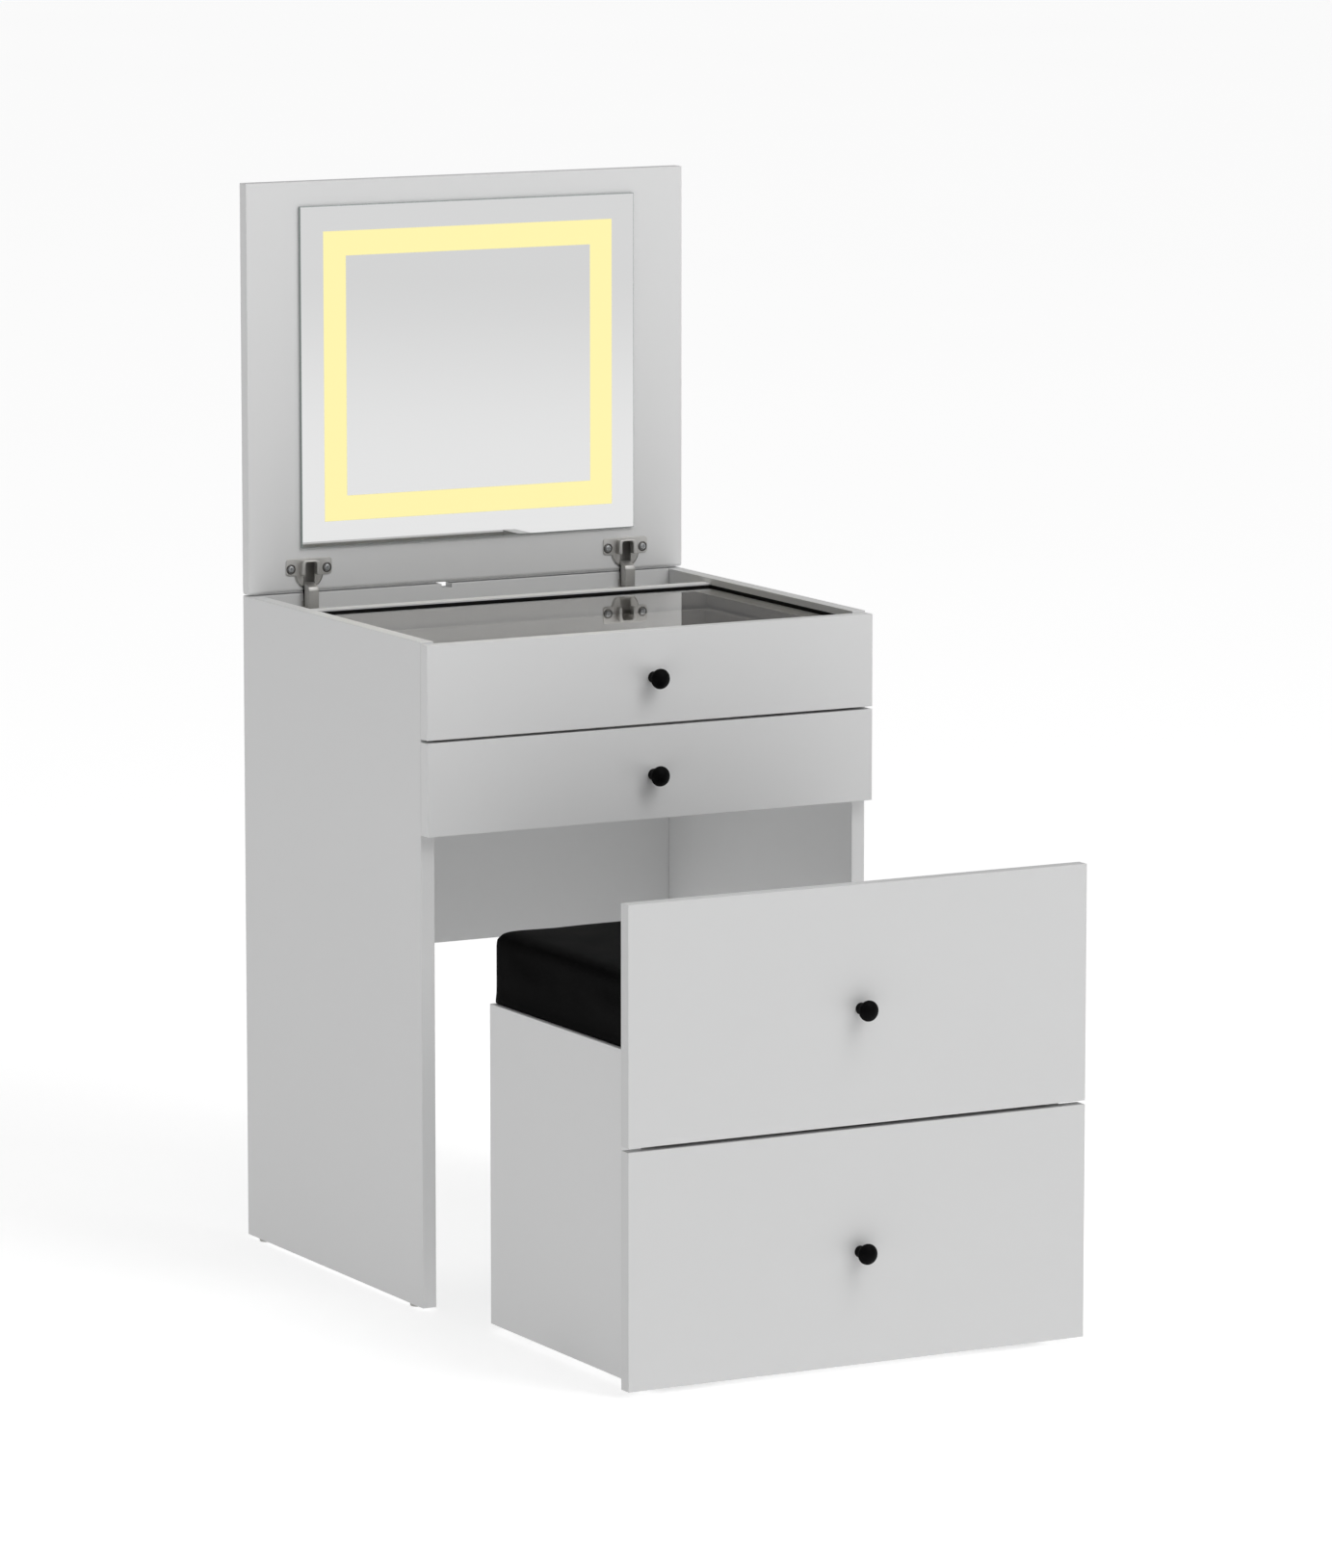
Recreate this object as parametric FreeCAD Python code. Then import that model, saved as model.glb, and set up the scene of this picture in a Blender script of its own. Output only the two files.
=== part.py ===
"""Dressing table with a lift-up mirror lid, two drawers and a roll-out stool with its own drawer.

+X is the user's right, +Y points to the wall, +Z is up, and z = 0 is the floor.
The stool stands pulled out in front of the table and the lid is open.
Millimetres throughout.
"""
import FreeCAD, Part

import math
import os

# ---------------------------------------------------------------- driving dimensions
WIDTH = 540.0              # table, drawer fronts, lid and stool fronts
DEPTH = 450.0              # table, from the drawer fronts' faces to the back
BOARD = 16.0               # laminated chipboard
THIN_BOARD = 12.0          # drawer box sides and backs
DRAWER_BASE = 3.0          # hardboard
EDGE_ROUND = 0.6           # edge banding
SIDE_TOP = 720.0
LID_LENGTH = 452.0
LID_GAP = 1.7              # between the side panels and the lid
LID_HEEL_ROUND = 4.2       # lets the lid's lower edges swing past the side panels
STOOL_PULL = 448.0         # how far the stool stands pulled out
FRONT_GAP = 0.5            # between a closed front and the board behind it
KNOB_HEIGHT = 24.0

# The frame's origin is on the floor, in the middle of the box around the whole object.
FRONT = (STOOL_PULL + KNOB_HEIGHT - DEPTH) / 2     # face of the table's drawer fronts
BACK = FRONT + DEPTH
SIDE_FRONT = FRONT + BOARD + FRONT_GAP             # front edge of the side panels
HALF = WIDTH / 2
INNER = HALF - BOARD                               # inner face of a side panel

# Drawer fronts: lowest and highest edge.
DRAWER_1_FRONT = (617.0, 718.0)
DRAWER_2_FRONT = (514.0, 614.0)
STOOL_DRAWER_FRONT = (7.0, 255.0)
BACKREST_FRONT = (259.0, 509.0)

# Glass inset, held in a black seal on a ledge.
GLASS_TOP = 710.5
GLASS_THICKNESS = 4.0
SEAL_WALL = 1.5
SEAL_LIP = 2.0             # how far the seal stands above the glass
LEDGE_TOP = GLASS_TOP - GLASS_THICKNESS - 1.0
FLAT_RAIL_DEPTH = 60.0     # the front rail lies flat under the glass
REAR_RAIL_FRONT = FRONT + 336.0
REAR_RAIL = (629.5, 714.5)

BACK_PANEL_LOW = 315.5
CABLE_NOTCH = (13.0, 4.5)  # width and depth, in the back panel's top edge
CABLE_NOTCH_X = -27.0

# Lid hinges: 35 mm cups in the lid, cranked arms on the back panel.
HINGE_X = 197.5
AXIS_Y = BACK - BOARD / 2
AXIS_Z = SIDE_TOP + LID_GAP + BOARD / 2
CUP_RADIUS = 17.5
CUP_DEPTH = 12.0
CUP_Z = SIDE_TOP + LID_GAP + 2.7 + CUP_RADIUS
FLANGE = (740.0, 759.0)
HOOD_HEIGHT = 7.0          # pressed hood round the arm's opening
PIN_RADIUS = 1.5
PIN_CLEARANCE = 0.05
ARM_HALF_WIDTH = 6.5

# Mirror and its light.
MIRROR = (414.0, 376.0, 4.0)      # width, height, thickness
MIRROR_LOW = 770.5
LIGHT_INSET = 28.0                # from the mirror's edge to the lit band
LIGHT_BAND = 27.5

# Drawer slides.
SLIDE_WIDTH = 12.5
SLIDE_HEIGHT = 35.0
SLIDE_STEEL = 1.2
DRAWER_1_DEPTH = 300.0
DRAWER_2_DEPTH = 400.0
STOOL_DRAWER_DEPTH = 290.0

# Stool.
STOOL_FRONT = FRONT - STOOL_PULL
STOOL_HALF = INNER - 7.0          # outer face of the stool's sides
STOOL_DEPTH = 335.0
STOOL_LOW = 7.0
STOOL_TOP = 350.0
STOOL_BASE_LOW = 60.0
STOOL_BODY_FRONT = STOOL_FRONT + BOARD
STOOL_BODY_BACK = STOOL_BODY_FRONT + STOOL_DEPTH
CUSHION_TOP = 428.0
CASTOR_RADIUS = 20.0
CASTOR_WIDTH = 18.0
CASTOR_X = 185.0
CASTOR_Y = (STOOL_BODY_FRONT + 45.0, STOOL_BODY_BACK - 60.0)


# ---------------------------------------------------------------- small helpers
def vec(x, y, z):
    return FreeCAD.Vector(x, y, z)


def box(x, y, z, rounded=0.0):
    """Box from three (low, high) pairs, with its edges rounded when asked."""
    solid = Part.makeBox(x[1] - x[0], y[1] - y[0], z[1] - z[0], vec(x[0], y[0], z[0]))
    if rounded:
        solid = solid.makeFillet(rounded, solid.Edges)
    return solid


def rod(radius, start, end):
    """Round bar between two points."""
    along = end.sub(start)
    return Part.makeCylinder(radius, along.Length, start, along)


def side_profile(points, x):
    """Solid between two X planes whose outline is a list of (y, z) points."""
    corners = [vec(x[0], y, z) for y, z in points]
    face = Part.Face(Part.makePolygon(corners + corners[:1]))
    return face.extrude(vec(x[1] - x[0], 0, 0))


def mirrored(shape):
    """The same piece for the other side of the table."""
    return shape.mirror(vec(0, 0, 0), vec(1, 0, 0))


def save(name, *shapes):
    """Write one node. Several shapes stay separate solids in it."""
    shape = shapes[0] if len(shapes) == 1 else Part.makeCompound(list(shapes))
    shape.exportStep("parts/" + name + ".step")


# ---------------------------------------------------------------- fasteners
DOWNWARD = (0, 0, -1)
REARWARD = (0, 1, 0)


def cam_lock(x_end, inward, y, z, normal):
    """Cam disc let into a board's face 24 mm from the end that meets a side board."""
    centre = vec(x_end + inward * 24.0, y, z)
    return rod(7.5, centre, centre.sub(normal * 12.0))


def cam_bolt(x_end, inward, y, z):
    """Steel dowel from a side board up to the cam."""
    return rod(3.0, vec(x_end - inward * 10.0, y, z), vec(x_end + inward * 16.0, y, z))


def wood_screw(head, direction, head_radius=4.0, head_height=2.0, length=12.0, core=1.75):
    """Pan-head screw: head on the surface at `head`, shank along `direction`."""
    crown = rod(head_radius, head.sub(direction * head_height), head)
    slot = rod(head_radius * 0.35, head.sub(direction * head_height),
               head.sub(direction * (head_height * 0.45)))
    return crown.cut(slot).fuse(rod(core, head, head.add(direction * length)))


def cam_set(places):
    """Locks and bolts for both ends of boards: (half length, y, z, face normal, offset)."""
    locks = []
    bolts = []
    for half, y, z, normal, surface in places:
        for end, inward in ((-half, 1), (half, -1)):
            at_y = surface if normal == REARWARD else y
            at_z = surface if normal == DOWNWARD else z
            locks.append(cam_lock(end, inward, at_y, at_z, vec(*normal)))
            bolts.append(cam_bolt(end, inward, y, z))
    return locks, bolts


def without(shape, others):
    """The shape with every one of the others cut out of it."""
    for other in others:
        shape = shape.cut(other)
    return shape


# ---------------------------------------------------------------- table carcass
def cabinet_cams():
    """Knock-down fittings of the carcass: base, rails and back panel to the sides."""
    base_z = DRAWER_2_FRONT[0] + 3.0 + BOARD / 2
    rail_y = SIDE_FRONT + FLAT_RAIL_DEPTH / 2
    places = [
        (INNER, SIDE_FRONT + 45.0, base_z, DOWNWARD, base_z - BOARD / 2),
        (INNER, BACK - BOARD - 60.0, base_z, DOWNWARD, base_z - BOARD / 2),
        (INNER, rail_y, LEDGE_TOP - BOARD / 2, DOWNWARD, LEDGE_TOP - BOARD),
        (INNER, REAR_RAIL_FRONT + BOARD / 2, 660.0, REARWARD, REAR_RAIL_FRONT + BOARD),
        (INNER, BACK - BOARD / 2, 370.0, REARWARD, BACK),
        (INNER, BACK - BOARD / 2, 560.0, REARWARD, BACK),
    ]
    return cam_set(places)


def make_carcass(locks, bolts):
    """Two side panels, a part-height back panel, the base under drawer 2 and two rails."""
    side = box((-HALF, -INNER), (SIDE_FRONT, BACK), (3.0, SIDE_TOP), EDGE_ROUND)
    save("side_panel_left", without(side, bolts + floor_glides()))
    save("side_panel_right", without(mirrored(side), bolts + floor_glides()))

    back = box((-INNER, INNER), (BACK - BOARD, BACK), (BACK_PANEL_LOW, SIDE_TOP), EDGE_ROUND)
    notch = box((CABLE_NOTCH_X - CABLE_NOTCH[0] / 2, CABLE_NOTCH_X + CABLE_NOTCH[0] / 2),
                (BACK - 2 * BOARD, BACK + BOARD), (SIDE_TOP - CABLE_NOTCH[1], SIDE_TOP + 5.0))
    save("back_panel", without(back.cut(notch), locks + bolts + hinge_plate_screws()))

    low = DRAWER_2_FRONT[0] + 3.0
    base = box((-INNER, INNER), (SIDE_FRONT, BACK - BOARD), (low, low + BOARD), EDGE_ROUND)
    save("bottom_panel", without(base, locks + bolts))

    front_rail = box((-INNER, INNER), (SIDE_FRONT, SIDE_FRONT + FLAT_RAIL_DEPTH),
                     (LEDGE_TOP - BOARD, LEDGE_TOP), EDGE_ROUND)
    save("front_rail", without(front_rail, locks + bolts))

    rear_rail = box((-INNER, INNER), (REAR_RAIL_FRONT, REAR_RAIL_FRONT + BOARD), REAR_RAIL, EDGE_ROUND)
    save("rear_rail", without(rear_rail, locks + bolts))


def floor_glides():
    """Nail-on glides: a 3 mm plastic foot and its nail, two under each side panel."""
    glides = []
    for x in (-HALF + BOARD / 2, HALF - BOARD / 2):
        for y in (SIDE_FRONT + 30.0, BACK - 30.0):
            foot = rod(7.5, vec(x, y, 0), vec(x, y, 3.0))
            foot = foot.makeChamfer(0.8, [foot.Edges[-1]])
            glides.append(foot.fuse(rod(1.2, vec(x, y, 3.0), vec(x, y, 15.0))))
    return glides


def make_glass():
    """Ledges on the sides and the rear rail, a black seal on them, and the glass in the seal."""
    ledge_low = LEDGE_TOP - BOARD
    side_ledge = box((-INNER, -INNER + THIN_BOARD), (SIDE_FRONT + FLAT_RAIL_DEPTH, REAR_RAIL_FRONT),
                     (ledge_low, LEDGE_TOP))
    rear_ledge = box((-INNER + THIN_BOARD, INNER - THIN_BOARD),
                     (REAR_RAIL_FRONT - THIN_BOARD, REAR_RAIL_FRONT), (ledge_low, LEDGE_TOP))
    save("glass_ledges", side_ledge, mirrored(side_ledge), rear_ledge)

    outer_x = (-INNER, INNER)
    outer_y = (SIDE_FRONT + 1.0, REAR_RAIL_FRONT)
    glass_x = (outer_x[0] + SEAL_WALL, outer_x[1] - SEAL_WALL)
    glass_y = (outer_y[0] + SEAL_WALL, outer_y[1] - SEAL_WALL)
    seal = box(outer_x, outer_y, (LEDGE_TOP, GLASS_TOP + SEAL_LIP))
    seal = seal.cut(box(glass_x, glass_y, (GLASS_TOP - GLASS_THICKNESS, GLASS_TOP + 10.0)))
    window_x = (glass_x[0] + 9.0, glass_x[1] - 9.0)
    window_y = (glass_y[0] + 9.0, glass_y[1] - 9.0)
    seal = seal.cut(box(window_x, window_y, (LEDGE_TOP - 1.0, GLASS_TOP)))
    save("glass_seal", seal)
    save("glass_top", box(glass_x, glass_y, (GLASS_TOP - GLASS_THICKNESS, GLASS_TOP)))


# ---------------------------------------------------------------- lid, mirror and hinges
def cup_at(x):
    """Pressed hinge cup: two-screw flange, and a raised hood open in the middle for the arm."""
    face = AXIS_Y - BOARD / 2
    front = face - 0.8
    centre = vec(x, face, CUP_Z)
    back = vec(0, 1, 0)
    plate = box((x - 28.0, x + 28.0), (front, face), FLANGE)
    upright = [edge for edge in plate.Edges if abs(edge.tangentAt(edge.FirstParameter).y) > 0.9]
    plate = plate.makeFillet(4.0, upright)
    hood = box((x - 11.0, x + 11.0), (front - HOOD_HEIGHT, face), (FLANGE[0] + 0.5, FLANGE[1] - 2.0))
    outer = [edge for edge in hood.Edges if edge.BoundBox.YMin < face - 1.0]
    hood = hood.makeFillet(2.5, outer)
    rim = rod(CUP_RADIUS, centre.sub(back * 0.8), centre)
    body = rod(CUP_RADIUS, centre, centre.add(back * CUP_DEPTH))
    hollow = rod(CUP_RADIUS - 1.0, centre, centre.add(back * (CUP_DEPTH - 0.8)))
    opening = box((x - 6.9, x + 6.9), (front - 10.0, face + 1.0), (720.0, FLANGE[1] - 4.2))
    cup = plate.fuse(rim).fuse(body).cut(hollow).fuse(hood).cut(opening)
    return without(cup.removeSplitter(), [hinge_pin(x)] + cup_screws(x))


def cup_screws(x):
    """Two short screws that hold a cup's flange to the lid."""
    face = AXIS_Y - BOARD / 2 - 0.8
    return [wood_screw(vec(x + side * 22.0, face, 747.5), vec(0, 1, 0), length=11.0)
            for side in (-1, 1)]


def hinge_pin(x):
    """Steel pin across the cup, on the lid's turning axis."""
    return rod(PIN_RADIUS, vec(x - 11.5, AXIS_Y, AXIS_Z), vec(x + 11.5, AXIS_Y, AXIS_Z))


def hinge_arm(x):
    """Cranked arm: upright channel in front of the back panel, and a link into the cup."""
    face = BACK - BOARD
    rear = face - 1.7
    front = rear - 11.3
    upright = side_profile(
        [(rear, 704.0), (rear, AXIS_Z - 2.6), (face, AXIS_Z - 2.6), (face, AXIS_Z + 2.4),
         (front + 1.0, AXIS_Z - 2.0), (front, AXIS_Z - 3.5), (front, 704.0)],
        (x - ARM_HALF_WIDTH, x + ARM_HALF_WIDTH))
    upright = upright.cut(box((x - 20, x + 20), (rear + 0.05, face + 5.0), (700.0, 740.0)))
    recess = box((x - ARM_HALF_WIDTH + 1.2, x + ARM_HALF_WIDTH - 1.2), (front - 1.0, front + 0.8),
                 (709.0, 720.0))
    link = side_profile(
        [(rear, AXIS_Z - 2.6), (AXIS_Y, AXIS_Z - 2.6), (AXIS_Y, AXIS_Z + 2.4), (rear - 0.5, AXIS_Z + 1.0)],
        (x - 5.0, x + 5.0))
    eye = rod(2.6, vec(x - 5.0, AXIS_Y, AXIS_Z), vec(x + 5.0, AXIS_Y, AXIS_Z))
    tongue = box((x - 5.5, x + 5.5), (rear - 1.5, rear), (687.0, 705.0))
    arm = upright.cut(recess).fuse(link).fuse(eye).fuse(tongue).removeSplitter()
    bore = rod(PIN_RADIUS + PIN_CLEARANCE, vec(x - 20.0, AXIS_Y, AXIS_Z), vec(x + 20.0, AXIS_Y, AXIS_Z))
    return arm.cut(bore)


def hinge_plate(x):
    """Winged mounting plate on the back panel, under the arm's tongue."""
    face = BACK - BOARD
    wings = box((x - 24.0, x + 24.0), (face - 1.7, face), (684.0, 703.0))
    upright = [edge for edge in wings.Edges if abs(edge.tangentAt(edge.FirstParameter).y) > 0.9]
    wings = wings.makeFillet(4.0, upright)
    stem = box((x - 8.5, x + 8.5), (face - 1.7, face), (703.0 - 5.0, 712.0))
    return without(wings.fuse(stem).removeSplitter(), hinge_plate_screws(x))


def hinge_plate_screws(*centres):
    """Two screws through each mounting plate into the back panel."""
    face = BACK - BOARD - 1.7
    return [wood_screw(vec(x + side * 17.0, face, 693.5), vec(0, 1, 0), length=13.0)
            for x in (centres or (-HINGE_X, HINGE_X)) for side in (-1, 1)]


def make_hinges():
    both = (-HINGE_X, HINGE_X)
    save("hinge_cups", *[cup_at(x) for x in both])
    save("hinge_cup_screws", *[screw for x in both for screw in cup_screws(x)])
    save("hinge_pins", *[hinge_pin(x) for x in both])
    save("hinge_arms", *[hinge_arm(x) for x in both])
    save("hinge_plates", *[hinge_plate(x) for x in both])
    save("hinge_plate_screws", *hinge_plate_screws())


def light_ring(inset, width, y):
    """Rectangular ring parallel to the mirror, `inset` inside the mirror's edge."""
    half = MIRROR[0] / 2 - inset
    low = MIRROR_LOW + inset
    high = MIRROR_LOW + MIRROR[1] - inset
    outer = box((-half, half), y, (low, high))
    inner = box((-half + width, half - width), (y[0] - 1, y[1] + 1), (low + width, high - width))
    return outer.cut(inner)


def make_lid():
    """Lid board with hinge bores and a routed light groove, the mirror, and the light strip."""
    face = BACK - BOARD
    low = SIDE_TOP + LID_GAP
    lid = box((-HALF, HALF), (face, BACK), (low, low + LID_LENGTH))
    heel = [edge for edge in lid.Edges if edge.BoundBox.ZMax < low + 1 and edge.BoundBox.XLength > 1]
    lid = lid.makeFillet(LID_HEEL_ROUND, heel)
    lid = lid.cut(light_ring(LIGHT_INSET, LIGHT_BAND, (face - 1.0, face + 9.0)))
    for x in (-HINGE_X, HINGE_X):
        lid = lid.cut(rod(CUP_RADIUS, vec(x, face - 1, CUP_Z), vec(x, face + CUP_DEPTH, CUP_Z)))
        lid = without(lid, cup_screws(x) + [hinge_pin(x)])
    save("lid_panel", lid)
    mirror = box((-MIRROR[0] / 2, MIRROR[0] / 2), (face - MIRROR[2], face),
                 (MIRROR_LOW, MIRROR_LOW + MIRROR[1]), 0.5)
    save("mirror_glass", mirror)
    save("light_strip", light_ring(LIGHT_INSET + 8.0, LIGHT_BAND - 16.0, (face + 6.5, face + 9.0)))


# ---------------------------------------------------------------- drawers
def knob(face_y, z):
    """Turned mushroom knob: straight stem, flared back, domed front, blind hole for a screw."""
    stem = 6.2
    head = 11.0
    hole = 1.9
    hole_depth = 12.0
    back = [(hole, hole_depth), (hole, 0), (stem, 0), (stem - 0.4, 8.0), (head - 0.6, 14.2)]
    edges = [Part.makeLine(vec(a[0], -a[1], 0), vec(b[0], -b[1], 0)) for a, b in zip(back, back[1:])]
    flare = vec(head - 0.6, -14.2, 0)
    shoulder = vec(head - 1.2, -19.2, 0)
    crown = vec(0, -KNOB_HEIGHT, 0)
    rise = KNOB_HEIGHT - 19.2
    dome = (shoulder.x ** 2 + rise ** 2) / (2 * rise)
    half_angle = math.asin(shoulder.x / dome) / 2
    on_dome = vec(dome * math.sin(half_angle), -KNOB_HEIGHT + dome * (1 - math.cos(half_angle)), 0)
    edges.append(Part.Arc(flare, vec(head, -16.6, 0), shoulder).toShape())
    edges.append(Part.Arc(shoulder, on_dome, crown).toShape())
    edges.append(Part.makeLine(crown, vec(0, -hole_depth, 0)))
    edges.append(Part.makeLine(vec(0, -hole_depth, 0), vec(hole, -hole_depth, 0)))
    solid = Part.Face(Part.Wire(edges)).revolve(vec(0, 0, 0), vec(0, 1, 0), 360)
    solid.translate(vec(0, face_y, z))
    return solid


def front_board(face_y, heights, knob_z):
    """Full-width drawer front with the hole for its knob's screw."""
    board = box((-HALF, HALF), (face_y, face_y + BOARD), heights, EDGE_ROUND)
    return board.cut(rod(2.2, vec(0, face_y - 1, knob_z), vec(0, face_y + BOARD + 1, knob_z)))


def slide_pair(half_gap, z, y, moving):
    """C-section slides: the fixed member on the side board, or the one that nests inside it."""
    if moving:
        back = half_gap - SLIDE_WIDTH
        half = SLIDE_HEIGHT / 2 - 5.6
        x_open = half_gap - 3.0
        web = (back, back + SLIDE_STEEL)
        reach = (back, x_open)
    else:
        web = (half_gap - SLIDE_STEEL, half_gap)
        half = SLIDE_HEIGHT / 2
        reach = (half_gap - SLIDE_WIDTH + 3.0, half_gap)
    member = box(web, y, (z - half, z + half))
    member = member.fuse(box(reach, y, (z + half - SLIDE_STEEL, z + half)))
    member = member.fuse(box(reach, y, (z - half, z - half + SLIDE_STEEL))).removeSplitter()
    return mirrored(member), member


def make_drawer(name, face_y, heights, knob_z, half_gap, box_z, depth, slide_z):
    """Front, two sides, back, hardboard base, knob and the moving slide members."""
    rear_of_front = face_y + BOARD
    half = half_gap - SLIDE_WIDTH
    side_y = (rear_of_front, rear_of_front + depth)
    groove = 5.0
    base = box((-half + THIN_BOARD - groove, half - THIN_BOARD + groove),
               (rear_of_front - groove, side_y[1] - THIN_BOARD + groove),
               (box_z[0] + 8.0, box_z[0] + 8.0 + DRAWER_BASE))
    side = box((-half, -half + THIN_BOARD), side_y, box_z).cut(base)
    rear = box((-half + THIN_BOARD, half - THIN_BOARD), (side_y[1] - THIN_BOARD, side_y[1]), box_z).cut(base)
    save(name + "_front", front_board(face_y, heights, knob_z).cut(base))
    save(name + "_box_left", side)
    save(name + "_box_right", mirrored(box((-half, -half + THIN_BOARD), side_y, box_z)).cut(base))
    save(name + "_box_back", rear)
    save(name + "_base", base)
    save(name + "_knob", knob(face_y, knob_z))
    save(name + "_runners", *slide_pair(half_gap, slide_z, (side_y[0] + 2.0, side_y[1] - 2.0), True))


def make_drawer_rails(name, half_gap, slide_z, y):
    """Fixed slide members, one on each side board."""
    save(name, *slide_pair(half_gap, slide_z, y, False))


def make_table_drawers():
    middle = FRONT + BOARD
    make_drawer("drawer_1", FRONT, DRAWER_1_FRONT, 667.0, INNER, (625.0, 686.0), DRAWER_1_DEPTH, 655.0)
    make_drawer("drawer_2", FRONT, DRAWER_2_FRONT, 562.0, INNER, (540.0, 608.0), DRAWER_2_DEPTH, 574.0)
    make_drawer_rails("drawer_1_rails", INNER, 655.0, (SIDE_FRONT + 3.0, middle + DRAWER_1_DEPTH))
    make_drawer_rails("drawer_2_rails", INNER, 574.0, (SIDE_FRONT + 3.0, middle + DRAWER_2_DEPTH))


# ---------------------------------------------------------------- stool
def stool_cams():
    """Knock-down fittings of the stool's base, seat board and rear panel."""
    inner = STOOL_HALF - BOARD
    base_z = STOOL_BASE_LOW + BOARD / 2
    seat_z = STOOL_TOP - BOARD / 2
    front_y = STOOL_BODY_FRONT + 100.0
    rear_y = STOOL_BODY_BACK - 110.0
    places = [
        (inner, front_y, base_z, DOWNWARD, STOOL_BASE_LOW),
        (inner, rear_y, base_z, DOWNWARD, STOOL_BASE_LOW),
        (inner, front_y, seat_z, DOWNWARD, STOOL_TOP - BOARD),
        (inner, rear_y, seat_z, DOWNWARD, STOOL_TOP - BOARD),
        (inner, STOOL_BODY_BACK - BOARD / 2, 200.0, REARWARD, STOOL_BODY_BACK),
    ]
    return cam_set(places)


def make_stool():
    """Open-fronted box on hidden castors, with a tall fixed front that is also the backrest."""
    locks, bolts = stool_cams()
    inner = STOOL_HALF - BOARD
    body_y = (STOOL_BODY_FRONT, STOOL_BODY_BACK)
    side = box((-STOOL_HALF, -inner), body_y, (STOOL_LOW, STOOL_TOP), EDGE_ROUND)
    save("stool_side_left", without(side, bolts))
    save("stool_side_right", without(mirrored(side), bolts))
    rear = box((-inner, inner), (body_y[1] - BOARD, body_y[1]), (STOOL_LOW, STOOL_TOP - BOARD), EDGE_ROUND)
    save("stool_rear_panel", without(rear, locks + bolts))
    base = box((-inner, inner), (body_y[0] + 2.0, body_y[1] - BOARD),
               (STOOL_BASE_LOW, STOOL_BASE_LOW + BOARD), EDGE_ROUND)
    save("stool_bottom_panel", without(base, locks + bolts))
    seat = box((-inner, inner), body_y, (STOOL_TOP - BOARD, STOOL_TOP), EDGE_ROUND)
    save("stool_seat_board", without(seat, locks + bolts))
    save("stool_backrest", front_board(STOOL_FRONT, BACKREST_FRONT, 380.0))
    save("stool_backrest_knob", knob(STOOL_FRONT, 380.0))
    save("stool_cam_fittings", *locks, *bolts)
    cushion = box((-STOOL_HALF + 4.5, STOOL_HALF - 4.5), (body_y[0] + 0.6, body_y[1] - 2.0),
                  (STOOL_TOP + 0.3, CUSHION_TOP))
    upper = [edge for edge in cushion.Edges
             if edge.BoundBox.ZMax > CUSHION_TOP - 1.0 and edge.BoundBox.YMax > body_y[0] + 5.0]
    save("seat_cushion", cushion.makeFillet(16.0, upper))


def make_stool_drawer():
    """Deep drawer in the stool, above the castors."""
    inner = STOOL_HALF - BOARD
    slide_z = 150.0
    make_drawer("stool_drawer", STOOL_FRONT, STOOL_DRAWER_FRONT, 126.0, inner, (86.0, 236.0),
                STOOL_DRAWER_DEPTH, slide_z)
    rear = STOOL_BODY_FRONT + STOOL_DRAWER_DEPTH
    make_drawer_rails("stool_drawer_rails", inner, slide_z, (STOOL_BODY_FRONT + 3.0, rear))


def castor_bracket(x, y):
    """Top plate with two cheeks that hold the axle of a fixed castor."""
    cheek = 1.5
    half = CASTOR_WIDTH / 2 + 0.8
    plate = box((x - 19.0, x + 19.0), (y - 22.0, y + 22.0), (STOOL_BASE_LOW - 2.0, STOOL_BASE_LOW))
    bracket = plate
    for low in (x - half - cheek, x + half):
        wall = side_profile(
            [(y - 16.0, STOOL_BASE_LOW - 1.0), (y + 16.0, STOOL_BASE_LOW - 1.0),
             (y + 7.0, CASTOR_RADIUS - 6.0), (y - 7.0, CASTOR_RADIUS - 6.0)],
            (low, low + cheek))
        bracket = bracket.fuse(wall)
    return bracket.cut(castor_axle(x, y))


def castor_axle(x, y):
    """Rivet through both cheeks."""
    reach = CASTOR_WIDTH / 2 + 3.2
    return rod(3.0, vec(x - reach, y, CASTOR_RADIUS), vec(x + reach, y, CASTOR_RADIUS))


def castor_wheel(x, y):
    """Plastic wheel with rounded tread edges, bored to run on the axle."""
    half = CASTOR_WIDTH / 2
    wheel = rod(CASTOR_RADIUS, vec(x - half, y, CASTOR_RADIUS), vec(x + half, y, CASTOR_RADIUS))
    rims = [edge for edge in wheel.Edges if edge.Length > 2 * math.pi * (CASTOR_RADIUS - 1)]
    wheel = wheel.makeFillet(2.5, rims)
    bore = rod(3.0 + PIN_CLEARANCE, vec(x - 20.0, y, CASTOR_RADIUS), vec(x + 20.0, y, CASTOR_RADIUS))
    return wheel.cut(bore)


def make_castors():
    places = [(side * CASTOR_X, y) for y in CASTOR_Y for side in (-1, 1)]
    save("castor_brackets", *[castor_bracket(x, y) for x, y in places])
    save("castor_axles", *[castor_axle(x, y) for x, y in places])
    names = ("front_left", "front_right", "rear_left", "rear_right")
    for name, (x, y) in zip(names, places):
        save("castor_wheel_" + name, castor_wheel(x, y))


os.makedirs("parts", exist_ok=True)
CAM_LOCKS, CAM_BOLTS = cabinet_cams()
make_carcass(CAM_LOCKS, CAM_BOLTS)
save("cam_locks", *CAM_LOCKS)
save("cam_bolts", *CAM_BOLTS)
save("floor_glides", *floor_glides())
make_glass()
make_hinges()
make_lid()
make_table_drawers()
make_stool()
make_stool_drawer()
make_castors()
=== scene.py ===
import math

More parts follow.
